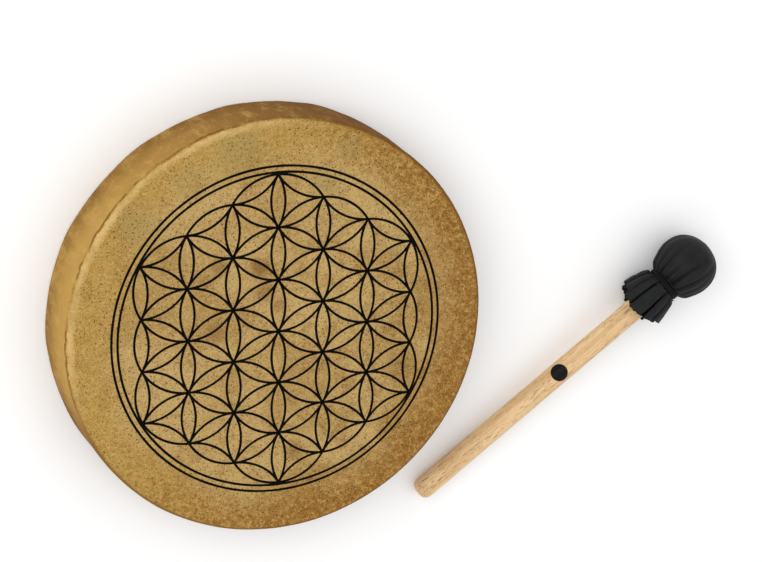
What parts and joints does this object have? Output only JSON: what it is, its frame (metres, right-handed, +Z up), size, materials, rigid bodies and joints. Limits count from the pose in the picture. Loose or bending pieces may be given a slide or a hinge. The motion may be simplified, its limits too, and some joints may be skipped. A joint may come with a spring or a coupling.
{
  "type": "hand-held frame drum with beater",
  "caption": "Shallow round frame drum with a laced hide head, a printed pattern of overlapping circles and a cross-shaped grip, and its padded leather-covered beater.",
  "frame": {"origin": "centre, in plan, of the rectangle that the drum and its beater cover on the table, at table height", "axes": "+Z up, out of the drum's head; +X from the drum towards its beater; +Y towards the top of the printed pattern"},
  "size_m": [0.6322, 0.394, 0.06],
  "materials": {
    "hide": "satin",
    "hoop_wood": "satin",
    "lace_rawhide": "satin",
    "wrap_suede": "matte",
    "ring_steel": "satin",
    "stick_wood": "satin",
    "badge_black": "satin",
    "core_rubber": "matte",
    "padding_felt": "matte",
    "cover_leather": "satin",
    "binding_cord": "matte"
  },
  "bodies": {
    "drum": {"drum_skin": "hide", "hoop_outer_ply": "hoop_wood", "hoop_middle_ply": "hoop_wood", "hoop_inner_ply": "hoop_wood", "centre_ring": "ring_steel", "lacing_right": "lace_rawhide", "lacing_top": "lace_rawhide", "lacing_left": "lace_rawhide", "lacing_bottom": "lace_rawhide", "grip_wrap_right": "wrap_suede", "grip_wrap_top": "wrap_suede", "grip_wrap_left": "wrap_suede", "grip_wrap_bottom": "wrap_suede", "lacing_knot": "lace_rawhide"},
    "beater": {"beater_stick": "stick_wood", "beater_badge": "badge_black", "beater_core": "core_rubber", "beater_padding": "padding_felt", "beater_cover": "cover_leather", "beater_binding": "binding_cord"}
  },
  "joints": [
    {"name": "beater_lift", "type": "slide", "parent": "drum", "child": "beater", "axis": [0, 0, 1], "range_m": [0, 0.12]}
  ]
}
